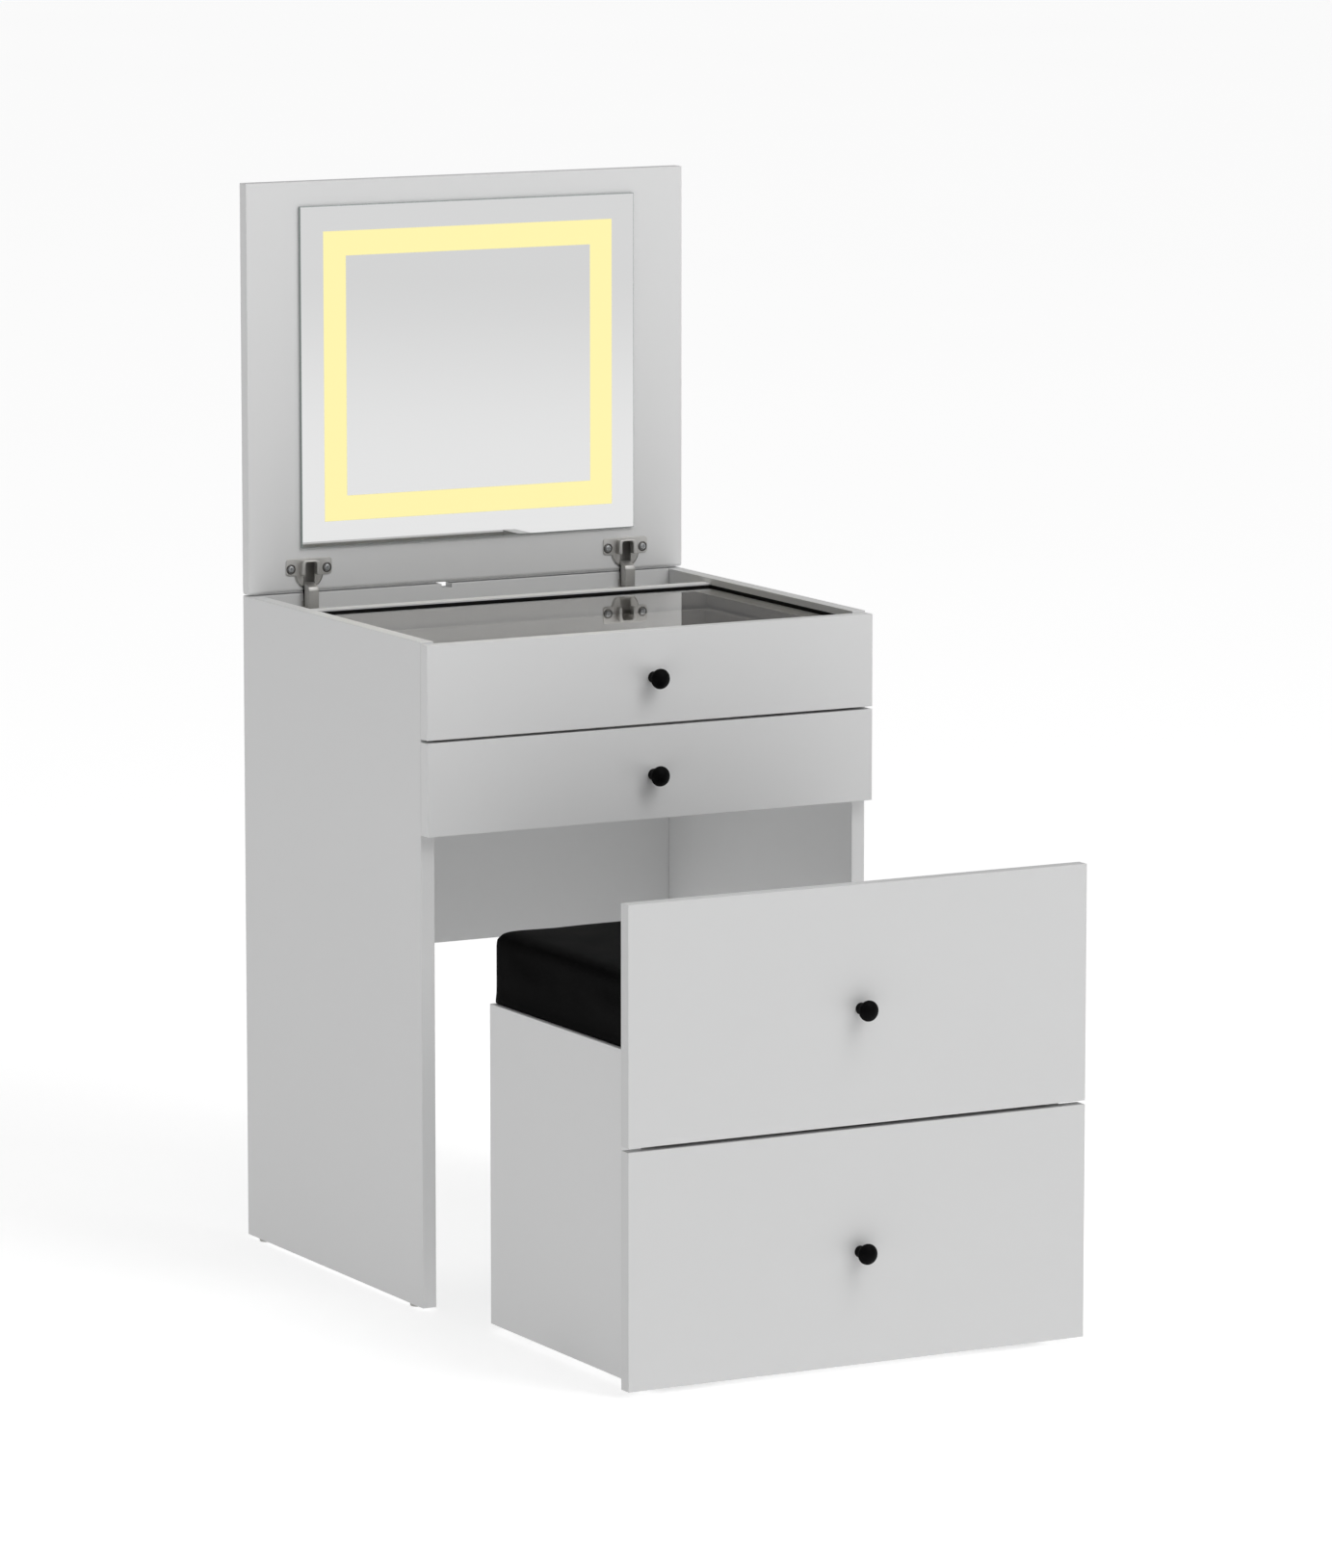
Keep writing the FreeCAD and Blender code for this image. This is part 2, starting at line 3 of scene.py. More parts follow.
import bmesh
import bpy
import numpy as np
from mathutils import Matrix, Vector


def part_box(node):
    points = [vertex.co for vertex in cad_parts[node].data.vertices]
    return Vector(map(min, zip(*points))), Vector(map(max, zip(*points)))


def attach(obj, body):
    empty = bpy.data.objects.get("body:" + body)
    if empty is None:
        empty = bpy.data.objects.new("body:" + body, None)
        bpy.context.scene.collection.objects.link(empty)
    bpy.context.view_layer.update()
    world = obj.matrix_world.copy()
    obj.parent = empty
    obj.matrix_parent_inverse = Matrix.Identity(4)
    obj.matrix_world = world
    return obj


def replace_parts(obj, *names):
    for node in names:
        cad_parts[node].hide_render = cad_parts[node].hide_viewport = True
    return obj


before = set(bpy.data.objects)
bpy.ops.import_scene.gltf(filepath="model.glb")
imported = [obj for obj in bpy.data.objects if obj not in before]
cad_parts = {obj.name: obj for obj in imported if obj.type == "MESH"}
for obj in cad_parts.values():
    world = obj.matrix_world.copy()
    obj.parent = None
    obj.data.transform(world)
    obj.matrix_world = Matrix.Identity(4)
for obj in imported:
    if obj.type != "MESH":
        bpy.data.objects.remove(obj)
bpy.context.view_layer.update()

# ---------------------------------------------------------------- carcass boards
# Sixteen-millimetre chipboard faced with white melamine and edged with white banding glued on
# round every board. The banding is coloured paler than the face, a painted highlight along
# every edge. Hidden cam fittings pull the boards together, so no face shows a screw.


class Shade:
    """A socket of a material's node tree. Sums and products of shades add Math nodes."""

    def __init__(self, tree, socket):
        self.tree = tree
        self.socket = socket

    def node(self, kind, settings, sockets, output=0):
        """One node of that kind: its settings first, then each socket's value or link."""
        made = self.tree.nodes.new(kind)
        for key, value in settings.items():
            setattr(made, key, value)
        for key, value in sockets.items():
            if isinstance(value, Shade):
                self.tree.links.new(value.socket, made.inputs[key])
            else:
                made.inputs[key].default_value = value
        return Shade(self.tree, made.outputs[output])

    def math(self, operation, *values):
        return self.node("ShaderNodeMath", {"operation": operation}, dict(enumerate(values)))

    def vector(self, operation, *values):
        return self.node("ShaderNodeVectorMath", {"operation": operation}, dict(enumerate(values)))

    def __add__(self, other):
        return self.math("ADD", self, other)

    def __sub__(self, other):
        return self.math("SUBTRACT", self, other)

    def __rsub__(self, other):
        return self.math("SUBTRACT", other, self)

    def __mul__(self, other):
        return self.math("MULTIPLY", self, other)

    def __abs__(self):
        return self.math("ABSOLUTE", self)

    __radd__ = __add__
    __rmul__ = __mul__

    def least(self, other):
        return self.math("MINIMUM", self, other)

    def most(self, other):
        return self.math("MAXIMUM", self, other)

    def step(self, low, high):
        """0 up to low, 1 from high on, with a smooth rise between."""
        return self.node("ShaderNodeMapRange", {"interpolation_type": "SMOOTHSTEP"},
                         {0: self, 1: low, 2: high, 3: 0.0, 4: 1.0})

    def colours(self, at_zero, at_one):
        """The first colour where this is 0, the second where it is 1."""
        return self.node("ShaderNodeMix", {"data_type": "RGBA"},
                         {0: self, 6: at_zero, 7: at_one}, 2)

    def split(self):
        """The three parts of a vector."""
        parts = self.node("ShaderNodeSeparateXYZ", {}, {0: self})
        outputs = parts.socket.node.outputs
        return [Shade(self.tree, outputs[i]) for i in range(3)]

    def noise(self, scale, detail=2.0, stretch=(1.0, 1.0, 1.0)):
        """Cloudy noise from 0 to 1 with `scale` lumps a metre, pulled out along an axis."""
        place = self.vector("MULTIPLY", self, stretch)
        return place.node("ShaderNodeTexNoise", {},
                          {"Vector": place, "Scale": scale, "Detail": detail}, "Fac")

    def bump(self, height, strength=1.0):
        """A surface normal for a height in metres."""
        return self.node("ShaderNodeBump", {}, {"Height": height, "Strength": strength,
                                                "Distance": 1.0}, "Normal")


def finish(name, slot, **uniform):
    """A new material, a function that feeds its shader, and the place on the object."""
    material = bpy.data.materials.new(name)
    material.use_nodes = True
    tree = material.node_tree
    tree.nodes.clear()
    shader = tree.nodes.new("ShaderNodeBsdfPrincipled")
    output = tree.nodes.new("ShaderNodeOutputMaterial")
    tree.links.new(shader.outputs[0], output.inputs[0])
    for key, value in uniform.items():
        shader.inputs[key.replace("_", " ")].default_value = value
    material["slot"] = slot

    def feed(**varying):
        for key, value in varying.items():
            tree.links.new(value.socket, shader.inputs[key.replace("_", " ")])

    where = Shade(tree, tree.nodes.new("ShaderNodeTexCoord").outputs["Object"])
    return material, feed, where


def coat(node, material):
    """Gives a CAD node its finish."""
    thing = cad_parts[node]
    for i in range(len(thing.material_slots)):
        thing.material_slots[i].material = material


def edge_distance(where, low, high):
    """Metres to a board's nearest edge: with q = |p - centre| - half size, which is 0 on a
    face, it is minus the second largest part of q."""
    centre = (low + high) / 2
    half = (high - low) / 2
    q = where.vector("SUBTRACT", where.vector("ABSOLUTE", where.vector("SUBTRACT", where, centre)),
                     half)
    x, y, z = q.split()
    return 0.0 - x.least(y).most(x.most(y).least(z))


MELAMINE = (0.740, 0.742, 0.742, 1.0)
# The banding colour is paler than the face: a painted highlight along the boards' edges.
HIGHLIT_BANDING = (0.765, 0.767, 0.767, 1.0)
GLUE_LINE = (0.640, 0.640, 0.635, 1.0)
BANDING_THICKNESS = 0.0008


def melamine(node, face=MELAMINE, highlit_band=HIGHLIT_BANDING):
    """White board: a pearled sheet on the faces, and at the edges banding with its fine glue line,
    the banding painted paler as a painted edge highlight.
    """
    low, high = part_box(node)
    material, feed, where = finish(node + "_melamine", "white_laminate", IOR=1.48)
    clouds = where.noise(5.0, 3.0)
    pearl = where.noise(1400.0, 1.0)
    to_edge = edge_distance(where, low, high)
    # Off the sheet, the banding strip takes the paler colour, a painted edge highlight.
    sheet = to_edge.step(BANDING_THICKNESS - 0.0001, BANDING_THICKNESS + 0.0001)
    glue = 1.0 - abs(to_edge - BANDING_THICKNESS).step(0.00005, 0.0002)
    paler = tuple(min(1.0, c * 1.02) for c in face[:3]) + (1.0,)
    colour = (glue * 0.6).colours(sheet.colours(highlit_band, clouds.colours(face, paler)), GLUE_LINE)
    feed(Base_Color=colour,
         Roughness=0.40 + 0.06 * clouds + 0.04 * pearl,
         Normal=where.bump(pearl * 0.000012 - glue * 0.00002))
    coat(node, material)


for board in ("side_panel_left", "side_panel_right", "back_panel", "bottom_panel", "front_rail",
              "rear_rail", "glass_ledges"):
    melamine(board)

# ---------------------------------------------------------------- cam fittings
# Die-cast zinc cams let into the boards' rear faces and undersides, each turned with a
# screwdriver through the cross in its top to draw in a steel dowel.


def zinc(name, slot="zinc_steel", tint=(0.55, 0.56, 0.57), roughness=0.36):
    material, feed, where = finish(name, slot, Metallic=1.0)
    flow = where.noise(260.0, 3.0)
    spots = where.noise(40.0, 4.0)
    dull = tuple(c * 0.80 for c in tint) + (1.0,)
    feed(Base_Color=spots.colours(tint + (1.0,), dull),
         Roughness=roughness + 0.16 * flow,
         Normal=where.bump(flow * 0.00003))
    return material


ZINC = zinc("zinc_plated")


def piece(name, grids, material, body):
    """A mesh from one or more grids of points (rows, columns, 3), each joined round its
    columns. Rows that shrink to one point close as poles."""
    grids = grids if isinstance(grids, list) else [grids]
    rows, columns = grids[0].shape[:2]
    index = np.arange(rows * columns).reshape(rows, columns)
    nexts = np.roll(index, -1, axis=1)
    quads = np.stack([index[:-1], nexts[:-1], nexts[1:], index[1:]], -1).reshape(-1, 4)
    quads = np.concatenate([quads + i * rows * columns for i in range(len(grids))])
    mesh = bpy.data.meshes.new(name)
    mesh.from_pydata(np.concatenate([g.reshape(-1, 3) for g in grids]).tolist(), [], quads.tolist())
    return finished(name, mesh, material, body)


def finished(name, mesh, material, body, crease=35.0):
    """Merges a mesh's doubles, turns it outwards, shades it, and hangs it on its body."""
    shell = bmesh.new()
    shell.from_mesh(mesh)
    bmesh.ops.remove_doubles(shell, verts=shell.verts, dist=0.000004)
    bmesh.ops.holes_fill(shell, edges=shell.edges, sides=0)
    bmesh.ops.recalc_face_normals(shell, faces=shell.faces)
    shell.to_mesh(mesh)
    shell.free()
    mesh.polygons.foreach_set("use_smooth", np.ones(len(mesh.polygons), bool))
    mesh.set_sharp_from_angle(angle=math.radians(crease))
    mesh.materials.append(material)
    thing = bpy.data.objects.new(name, mesh)
    bpy.context.scene.collection.objects.link(thing)
    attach(thing, body)
    return thing


def facing(normal):
    """Two unit vectors across a normal that lies along an axis."""
    normal = np.array(normal, float)
    side = np.array((0.0, 0.0, 1.0)) if abs(normal[2]) < 0.5 else np.array((1.0, 0.0, 0.0))
    side = np.cross(side, normal)
    return normal, side, np.cross(normal, side)


def turned(centre, normal, radius, height, cross=0.0, depth=0.0, columns=48):
    """A turned head with a driver's cross in it. Round the axis by angle a, each row has a
    radius r and a height h; inside the cross, where |u| < w or |v| < w and r < cross, the
    height drops by depth with walls a tenth of a millimetre wide."""
    normal, side, up = facing(normal)
    r, h = np.array(radius, float)[:, None], np.array(height, float)[:, None]
    a = np.linspace(0.0, 2.0 * np.pi, columns, endpoint=False)[None, :]
    u, v = r * np.cos(a), r * np.sin(a)
    if cross:
        arm = np.clip((cross * 0.17 - np.minimum(abs(u), abs(v))) / 0.0002, 0.0, 1.0)
        h = h - depth * arm * np.clip((cross - r) / 0.0002, 0.0, 1.0)
    h = h + 0.0 * a
    return (np.array(centre) + u[..., None] * side + v[..., None] * up + h[..., None] * normal)


CAM_RADIUS = 0.0074
CAM_DEPTH = 0.0118


def cams(name, places, body, node):
    """Cam discs: a rounded rim round a flat top with a cross in it, closed at the bottom."""
    flat = np.linspace(0.0, 0.0055, 20)
    rim = np.array([0.0060, 0.0064, 0.0068, 0.0072, CAM_RADIUS, CAM_RADIUS, 0.0])
    radius = np.concatenate([flat, rim])
    height = np.concatenate([np.full(20, -0.0009), [-0.0007, -0.0002, -0.0001, -0.0002, -0.0005,
                                                    -CAM_DEPTH, -CAM_DEPTH]])
    grids = [turned(centre, normal, radius, height, 0.0045, 0.0030) for centre, normal in places]
    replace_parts(piece(name, grids, ZINC, body), node)


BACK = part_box("back_panel")[1].y
BASE_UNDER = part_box("bottom_panel")[0].z
RAIL_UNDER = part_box("front_rail")[0].z
RAIL_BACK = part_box("rear_rail")[1].y
CAM_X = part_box("back_panel")[1].x - 0.024
DOWN, REAR, FORWARD = (0, 0, -1), (0, 1, 0), (0, -1, 0)
table_cams = [((x, y, z), normal) for x in (-CAM_X, CAM_X) for y, z, normal in (
    (0.0725, BASE_UNDER, DOWN), (0.385, BASE_UNDER, DOWN), (0.0575, RAIL_UNDER, DOWN),
    (RAIL_BACK, 0.660, REAR), (BACK, 0.370, REAR), (BACK, 0.560, REAR))]
cams("cam_discs", table_cams, "table", "cam_locks")
coat("cam_bolts", ZINC)
STOOL_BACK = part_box("stool_rear_panel")[1].y
STOOL_CAM_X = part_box("stool_rear_panel")[1].x - 0.024
STOOL_BASE_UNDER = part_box("stool_bottom_panel")[0].z
STOOL_SEAT_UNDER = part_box("stool_seat_board")[0].z
stool_cams = [((x, y, z), normal) for x in (-STOOL_CAM_X, STOOL_CAM_X) for y, z, normal in (
    (-0.321, STOOL_BASE_UNDER, DOWN), (-0.196, STOOL_BASE_UNDER, DOWN),
    (-0.321, STOOL_SEAT_UNDER, DOWN), (-0.196, STOOL_SEAT_UNDER, DOWN),
    (STOOL_BACK, 0.200, REAR))]
cams("stool_cam_discs", stool_cams, "stool", "stool_cam_fittings")

# ---------------------------------------------------------------- glass inset
# Four-millimetre grey float glass with polished edges, dropped into a black rubber channel
# that sits on the ledges and stands two millimetres above the glass.
GLASS_TINT = (0.78, 0.76, 0.735, 1.0)
glass, feed, where = finish("grey_glass", "grey_glass", IOR=1.5, Transmission_Weight=1.0,
                            Base_Color=GLASS_TINT)
wiped = where.noise(9.0, 4.0, (1.0, 3.0, 1.0)).step(0.45, 0.8)
feed(Roughness=0.008 + 0.02 * wiped)
coat("glass_top", glass)

rubber, feed, where = finish("black_rubber", "black_seal", IOR=1.5, Specular_IOR_Level=0.1)
grit = where.noise(900.0, 2.0)
feed(Base_Color=grit.colours((0.006, 0.006, 0.006, 1.0), (0.014, 0.014, 0.013, 1.0)),
     Roughness=0.55 + 0.2 * grit, Normal=where.bump(grit * 0.00004))
coat("glass_seal", rubber)

# ---------------------------------------------------------------- hinges
# Nickel-plated steel cup hinges. A pressed cup and its two-screw flange are let into the lid,
# and a cranked arm drops from it to a winged plate that is screwed to the back panel.
NICKEL = zinc("nickel_plated", "nickel_steel", (0.66, 0.65, 0.63), 0.44)
# A near-black steel used as a painted shadow: it colours the rings round the flange screws to stand
# for the shade in their countersunk recesses.
RECESS_SHADOW_STEEL = zinc("recess_shadow_steel", "nickel_steel", (0.16, 0.155, 0.15), 0.40)
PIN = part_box("hinge_pins")
AXIS_Y = (PIN[0].y + PIN[1].y) / 2
AXIS_Z = (PIN[0].z + PIN[1].z) / 2
LID_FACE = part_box("lid_panel")[0].y
CUP_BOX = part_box("hinge_cups")
HINGE_X = CUP_BOX[1].x - 0.028
CUP_RADIUS = 0.0175
CUP_Z = CUP_BOX[0].z + CUP_RADIUS
FLANGE_LOW, FLANGE_HIGH = 0.740, 0.759
OPENING = 0.0069
FLANGE_SCREW_X, FLANGE_SCREW_Z = 0.022, 0.7475
PLATE_SCREW_X, PLATE_SCREW_Z = 0.017, 0.6935
PLATE_FACE = BACK - 0.0177


def rounded(corners, steps=6):
    """A closed outline from corners (x, y, r): each corner becomes an arc of radius r that
    touches both of its sides. Points that nearly fall on the one before are left out."""
    at = np.array([c[:2] for c in corners], float)
    radius = np.array([c[2] for c in corners], float)
    into = at - np.roll(at, 1, axis=0)
    out = np.roll(at, -1, axis=0) - at
    into /= np.linalg.norm(into, axis=1)[:, None]
    out /= np.linalg.norm(out, axis=1)[:, None]
    turn = np.arctan2(into[:, 0] * out[:, 1] - into[:, 1] * out[:, 0], (into * out).sum(1))
    reach = radius * np.tan(abs(turn) / 2)
    sign = np.sign(turn)
    normal = np.stack([-into[:, 1], into[:, 0]], 1) * sign[:, None]
    middle = at - into * reach[:, None] + normal * radius[:, None]
    t = np.linspace(0.0, 1.0, steps)[None, :] * turn[:, None]
    cos, sin = np.cos(t), np.sin(t)
    x = -normal[:, 0:1] * cos + normal[:, 1:2] * sin
    y = -normal[:, 1:2] * cos - normal[:, 0:1] * sin
    arcs = middle[:, None, :] + radius[:, None, None] * np.stack([x, y], -1)
    outline = arcs.reshape(-1, 2)
    return outline[np.linalg.norm(outline - np.roll(outline, 1, axis=0), axis=1) > 0.00006]


def inset(outline, by):
    """The outline moved inwards along its normals."""
    along = np.roll(outline, -1, axis=0) - np.roll(outline, 1, axis=0)
    along /= np.linalg.norm(along, axis=1)[:, None] + 1e-12
    area = (outline[:, 0] * np.roll(outline[:, 1], -1)
            - outline[:, 1] * np.roll(outline[:, 0], -1)).sum()
    inwards = np.stack([-along[:, 1], along[:, 0]], 1) * np.sign(area)
    return outline + inwards * by


def slab(outline, low, high, edge, axes):
    """A pressed plate: the outline carried from low to high, with quarter-round edges of that
    radius. The axes say which of x, y and z the outline's two parts and the travel are."""
    t = np.linspace(0.0, np.pi / 2, 4)
    rise = edge * (1 if high > low else -1)
    heights = np.concatenate([low + rise * (1 - np.cos(t)), high - rise * (1 - np.sin(t))])
    insets = edge * (1 - np.concatenate([np.sin(t), np.cos(t)]))
    rings = np.stack([inset(outline, by) for by in insets])
    points = np.zeros(rings.shape[:2] + (3,))
    points[..., axes[0]] = rings[..., 0]
    points[..., axes[1]] = rings[..., 1]
    points[..., axes[2]] = heights[:, None]
    return points


def screw(centre, normal, radius, rise):
    """A pan-head screw: height = rise * (1 - (r / R)^6)^(1/2), with a cross in the top."""
    rim = 1 - 0.3 * np.linspace(1, 0, 9)[1:] ** 2
    share = np.concatenate([np.linspace(0.0, 0.7, 18), rim, [0.0]])
    height = rise * np.sqrt(np.clip(1 - share ** 6, 0.0, 1.0))
    height[-1] = 0.0
    return turned(centre, normal, share * radius, height, radius * 0.60, rise * 0.5)


def cup_flange(x):
    """The flange's outline: a rounded plate with a slot for the arm, and two lobes that fill
    the lower half of the cup beside the slot."""
    lobe = CUP_RADIUS - 0.0014
    start = math.asin(OPENING / lobe)
    stop = math.acos((CUP_Z - FLANGE_LOW) / lobe)
    arc = np.linspace(start, stop, 9)
    low = [(lobe * math.sin(t), CUP_Z - lobe * math.cos(t), 0.0002) for t in arc]
    low[0] = low[0][:2] + (0.0006,)
    half = 0.028
    plate = [(-half, FLANGE_LOW, 0.004), (-half, FLANGE_HIGH, 0.004),
             (half, FLANGE_HIGH, 0.004), (half, FLANGE_LOW, 0.004)]
    slot_left, slot_right = [(way * OPENING, FLANGE_HIGH - 0.0042, 0.002) for way in (-1, 1)]
    left = [(-across, up, radius) for across, up, radius in low]
    corners = [slot_left] + left + plate + low[::-1] + [slot_right]
    return rounded([(x + across, up, radius) for across, up, radius in corners])


def hood(x):
    """The hood's outline: a horseshoe round the top of the slot."""
    foot, top, slot_top = FLANGE_LOW + 0.0006, FLANGE_HIGH - 0.0020, FLANGE_HIGH - 0.0042
    right = [(0.011, top, 0.004), (0.011, foot, 0.0015), (OPENING, foot, 0.0012),
             (OPENING, slot_top, 0.003)]
    left = [(-across, up, radius) for across, up, radius in right[::-1]]
    return rounded([(x + across, up, radius) for across, up, radius in left + right])


ARM_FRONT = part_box("hinge_arms")[0].y
ARM_REAR = ARM_FRONT + 0.0113
ARM_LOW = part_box("hinge_arms")[0].z


def arm(x):
    """The arm's side view (y, z): a bent strap that comes down its own front, and a tongue."""
    return rounded([
        (ARM_REAR, ARM_LOW + 0.017, 0.0005), (ARM_REAR, AXIS_Z - 0.0026, 0.0008),
        (AXIS_Y - 0.004, AXIS_Z - 0.0026, 0.0005), (AXIS_Y - 0.004, AXIS_Z + 0.0024, 0.001),
        (ARM_REAR + 0.001, AXIS_Z + 0.0024, 0.001), (ARM_FRONT + 0.0009, AXIS_Z - 0.0018, 0.0022),
        (ARM_FRONT, AXIS_Z - 0.0055, 0.002), (ARM_FRONT, ARM_LOW + 0.017, 0.0012)])


cup_pieces, arm_pieces = [], []
for side, x in (("left", -HINGE_X), ("right", HINGE_X)):
    plate = piece("hinge_flange_" + side,
                  slab(cup_flange(x), LID_FACE, LID_FACE - 0.0011, 0.0004, (0, 2, 1)),
                  NICKEL, "lid")
    horseshoe = piece("hinge_hood_" + side,
                      slab(hood(x), LID_FACE, LID_FACE - 0.0078, 0.0010, (0, 2, 1)),
                      NICKEL, "lid")
    lip = np.array([(0.0, 0.0118), (0.0160, 0.0118), (0.0168, 0.0105), (0.0168, -0.0004),
                    (0.0169, -0.0007), (0.0172, -0.0008), (0.01745, -0.0006), (0.0175, 0.0),
                    (0.0175, 0.0119), (0.0, 0.0119)])
    cup = piece("hinge_cup_" + side,
                turned((x, LID_FACE, CUP_Z), (0, 1, 0), lip[:, 0], lip[:, 1], columns=72),
                NICKEL, "lid")
    cup_pieces += [plate, horseshoe, cup]
    strap = piece("hinge_arm_" + side,
                  slab(arm(x), x - 0.0065, x + 0.0065, 0.0012, (1, 2, 0)),
                  NICKEL, "table")
    tongue = piece("hinge_tongue_" + side,
                   slab(rounded([(x - 0.0055, ARM_LOW, 0.002), (x + 0.0055, ARM_LOW, 0.002),
                                 (x + 0.0055, ARM_LOW + 0.019, 0.0005),
                                 (x - 0.0055, ARM_LOW + 0.019, 0.0005)]),
                        ARM_REAR, ARM_REAR - 0.0016, 0.0005, (0, 2, 1)),
                   NICKEL, "table")
    arm_pieces += [strap, tongue]
    # Rings round the flange screws, coloured near-black as a painted shadow of the screws'
    # recesses.
    collar = np.array([(0.0040, 0.0), (0.0043, 0.0006), (0.0048, 0.0007), (0.0053, 0.0004),
                       (0.0056, 0.0), (0.0040, 0.0)])
    piece("hinge_shadow_collars_" + side,
          [turned((x + way, LID_FACE - 0.0011, FLANGE_SCREW_Z), FORWARD, collar[:, 0], collar[:, 1])
           for way in (-FLANGE_SCREW_X, FLANGE_SCREW_X)], RECESS_SHADOW_STEEL, "lid")
    piece("hinge_cup_screws_" + side,
          [screw((x + way, LID_FACE - 0.0010, FLANGE_SCREW_Z), FORWARD, 0.0038, 0.0019)
           for way in (-FLANGE_SCREW_X, FLANGE_SCREW_X)], ZINC, "lid")
    piece("hinge_plate_screws_" + side,
          [screw((x, ARM_REAR - 0.0016, ARM_LOW + 0.007), FORWARD, 0.0036, 0.0012)]
          + [screw((x + way, PLATE_FACE, PLATE_SCREW_Z), FORWARD, 0.0040, 0.0020)
             for way in (-PLATE_SCREW_X, PLATE_SCREW_X)], ZINC, "table")
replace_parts(cup_pieces[0], "hinge_cups", "hinge_cup_screws")
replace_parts(arm_pieces[0], "hinge_arms", "hinge_plate_screws")
coat("hinge_plates", NICKEL)
coat("hinge_pins", ZINC)

# ---------------------------------------------------------------- lid and lighted mirror
# The lid is one more white board. Its silvered mirror is glued on, and the silver is
# sandblasted away in a square band over a strip of warm light-emitting diodes.
melamine("lid_panel")
MIRROR_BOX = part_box("mirror_glass")
BAND_INSET = 0.0280
BAND_WIDTH = 0.0275
mirror, feed, where = finish("lighted_mirror", "mirror", IOR=1.5)
centre = (MIRROR_BOX[0] + MIRROR_BOX[1]) / 2
half = (MIRROR_BOX[1] - MIRROR_BOX[0]) / 2
across, through, up = where.vector("SUBTRACT", where, centre).split()
inside = (half.x - abs(across)).least(half.z - abs(up))
lit = inside.step(BAND_INSET - 0.0002, BAND_INSET + 0.0002) - inside.step(
    BAND_INSET + BAND_WIDTH - 0.0002, BAND_INSET + BAND_WIDTH + 0.0002)
front = 1.0 - (through + half.y).step(0.0003, 0.0006)
lit = lit * front
# Inside the lit band the silver is coloured a little darker: painted shade for a dimmer reflection
# there.
shaded_middle = inside.step(BAND_INSET + BAND_WIDTH - 0.0002, BAND_INSET + BAND_WIDTH + 0.0002)
silver_with_painted_shade = shaded_middle.colours((0.70, 0.702, 0.702, 1.0), (0.685, 0.687, 0.687, 1.0))
edge_glass = (inside * front).step(0.0004, 0.0010)
smear = where.noise(7.0, 4.0, (2.0, 1.0, 1.0)).step(0.5, 0.9)
blasted = where.noise(1800.0, 2.0)
warm = blasted.colours((0.985, 0.895, 0.405, 1.0), (0.990, 0.905, 0.425, 1.0))
silvered = edge_glass.colours((0.30, 0.34, 0.33, 1.0), silver_with_painted_shade)
feed(Base_Color=lit.colours(silvered, (0.0, 0.0, 0.0, 1.0)),
     Metallic=(1.0 - lit) * (0.25 + 0.75 * edge_glass),
     Roughness=0.012 + 0.02 * smear + 0.75 * lit,
     Emission_Color=lit.colours((0.0, 0.0, 0.0, 1.0), warm))
mirror.node_tree.nodes["Principled BSDF"].inputs["Emission Strength"].default_value = 1.0
coat("mirror_glass", mirror)

strip, feed, where = finish("diode_strip", "warm_light", Emission_Strength=1.0)
diodes = where.noise(60.0, 1.0)
feed(Base_Color=diodes.colours((0.9, 0.85, 0.6, 1.0), (0.8, 0.74, 0.5, 1.0)),
     Emission_Color=diodes.colours((1.0, 0.92, 0.55, 1.0), (1.0, 0.86, 0.45, 1.0)))
coat("light_strip", strip)

# ---------------------------------------------------------------- drawers
# Full-width white fronts on foil-wrapped chipboard boxes with painted hardboard bases, run on
# ball-bearing steel slides. Each front has one turned knob, powder coated black.
for board in ("drawer_1_front", "drawer_2_front"):
    melamine(board)


def foil(name, slot, tone, scale, stretch):
    """Wrapped or painted board: fibres pulled out along one axis, faint in tone and relief."""
    material, feed, where = finish(name, slot, IOR=1.46)
    fibres = where.noise(scale, 4.0, stretch)
    darker = tuple(c * 0.93 for c in tone) + (1.0,)
    feed(Base_Color=fibres.colours(tone + (1.0,), darker),
         Roughness=0.46 + 0.14 * fibres, Normal=where.bump(fibres * 0.00004))
    return material


BOX_FOIL = foil("box_foil", "drawer_box_laminate", (0.74, 0.735, 0.72), 220.0, (1.0, 0.06, 1.0))
BASE_PAINT = foil("base_paint", "white_hardboard", (0.70, 0.70, 0.69), 300.0, (1.0, 1.0, 1.0))
knob_coat, feed, where = finish("powder_coat", "black_knob", IOR=1.5, Specular_IOR_Level=0.04)
orange_peel = where.noise(1100.0, 2.0)
feed(Base_Color=orange_peel.colours((0.0016, 0.0016, 0.0017, 1.0), (0.0036, 0.0036, 0.0038, 1.0)),
     Roughness=0.42 + 0.18 * orange_peel, Normal=where.bump(orange_peel * 0.00006))
rolled, feed, where = finish("rolled_steel", "slide_steel", Metallic=1.0)
lines = where.noise(900.0, 2.0, (1.0, 0.02, 1.0))
feed(Base_Color=lines.colours((0.52, 0.53, 0.54, 1.0), (0.38, 0.39, 0.40, 1.0)),
     Roughness=0.30 + 0.20 * lines, Normal=where.bump(lines * 0.00002))
for drawer in ("drawer_1", "drawer_2", "stool_drawer"):
    for part in ("_box_left", "_box_right", "_box_back"):
        coat(drawer + part, BOX_FOIL)
    coat(drawer + "_base", BASE_PAINT)
    coat(drawer + "_knob", knob_coat)
    coat(drawer + "_runners", rolled)
    coat(drawer + "_rails", rolled)
coat("stool_backrest_knob", knob_coat)
KNOB_HEIGHTS = (("drawer_1", 0.667), ("drawer_2", 0.562), ("stool_drawer", 0.126))
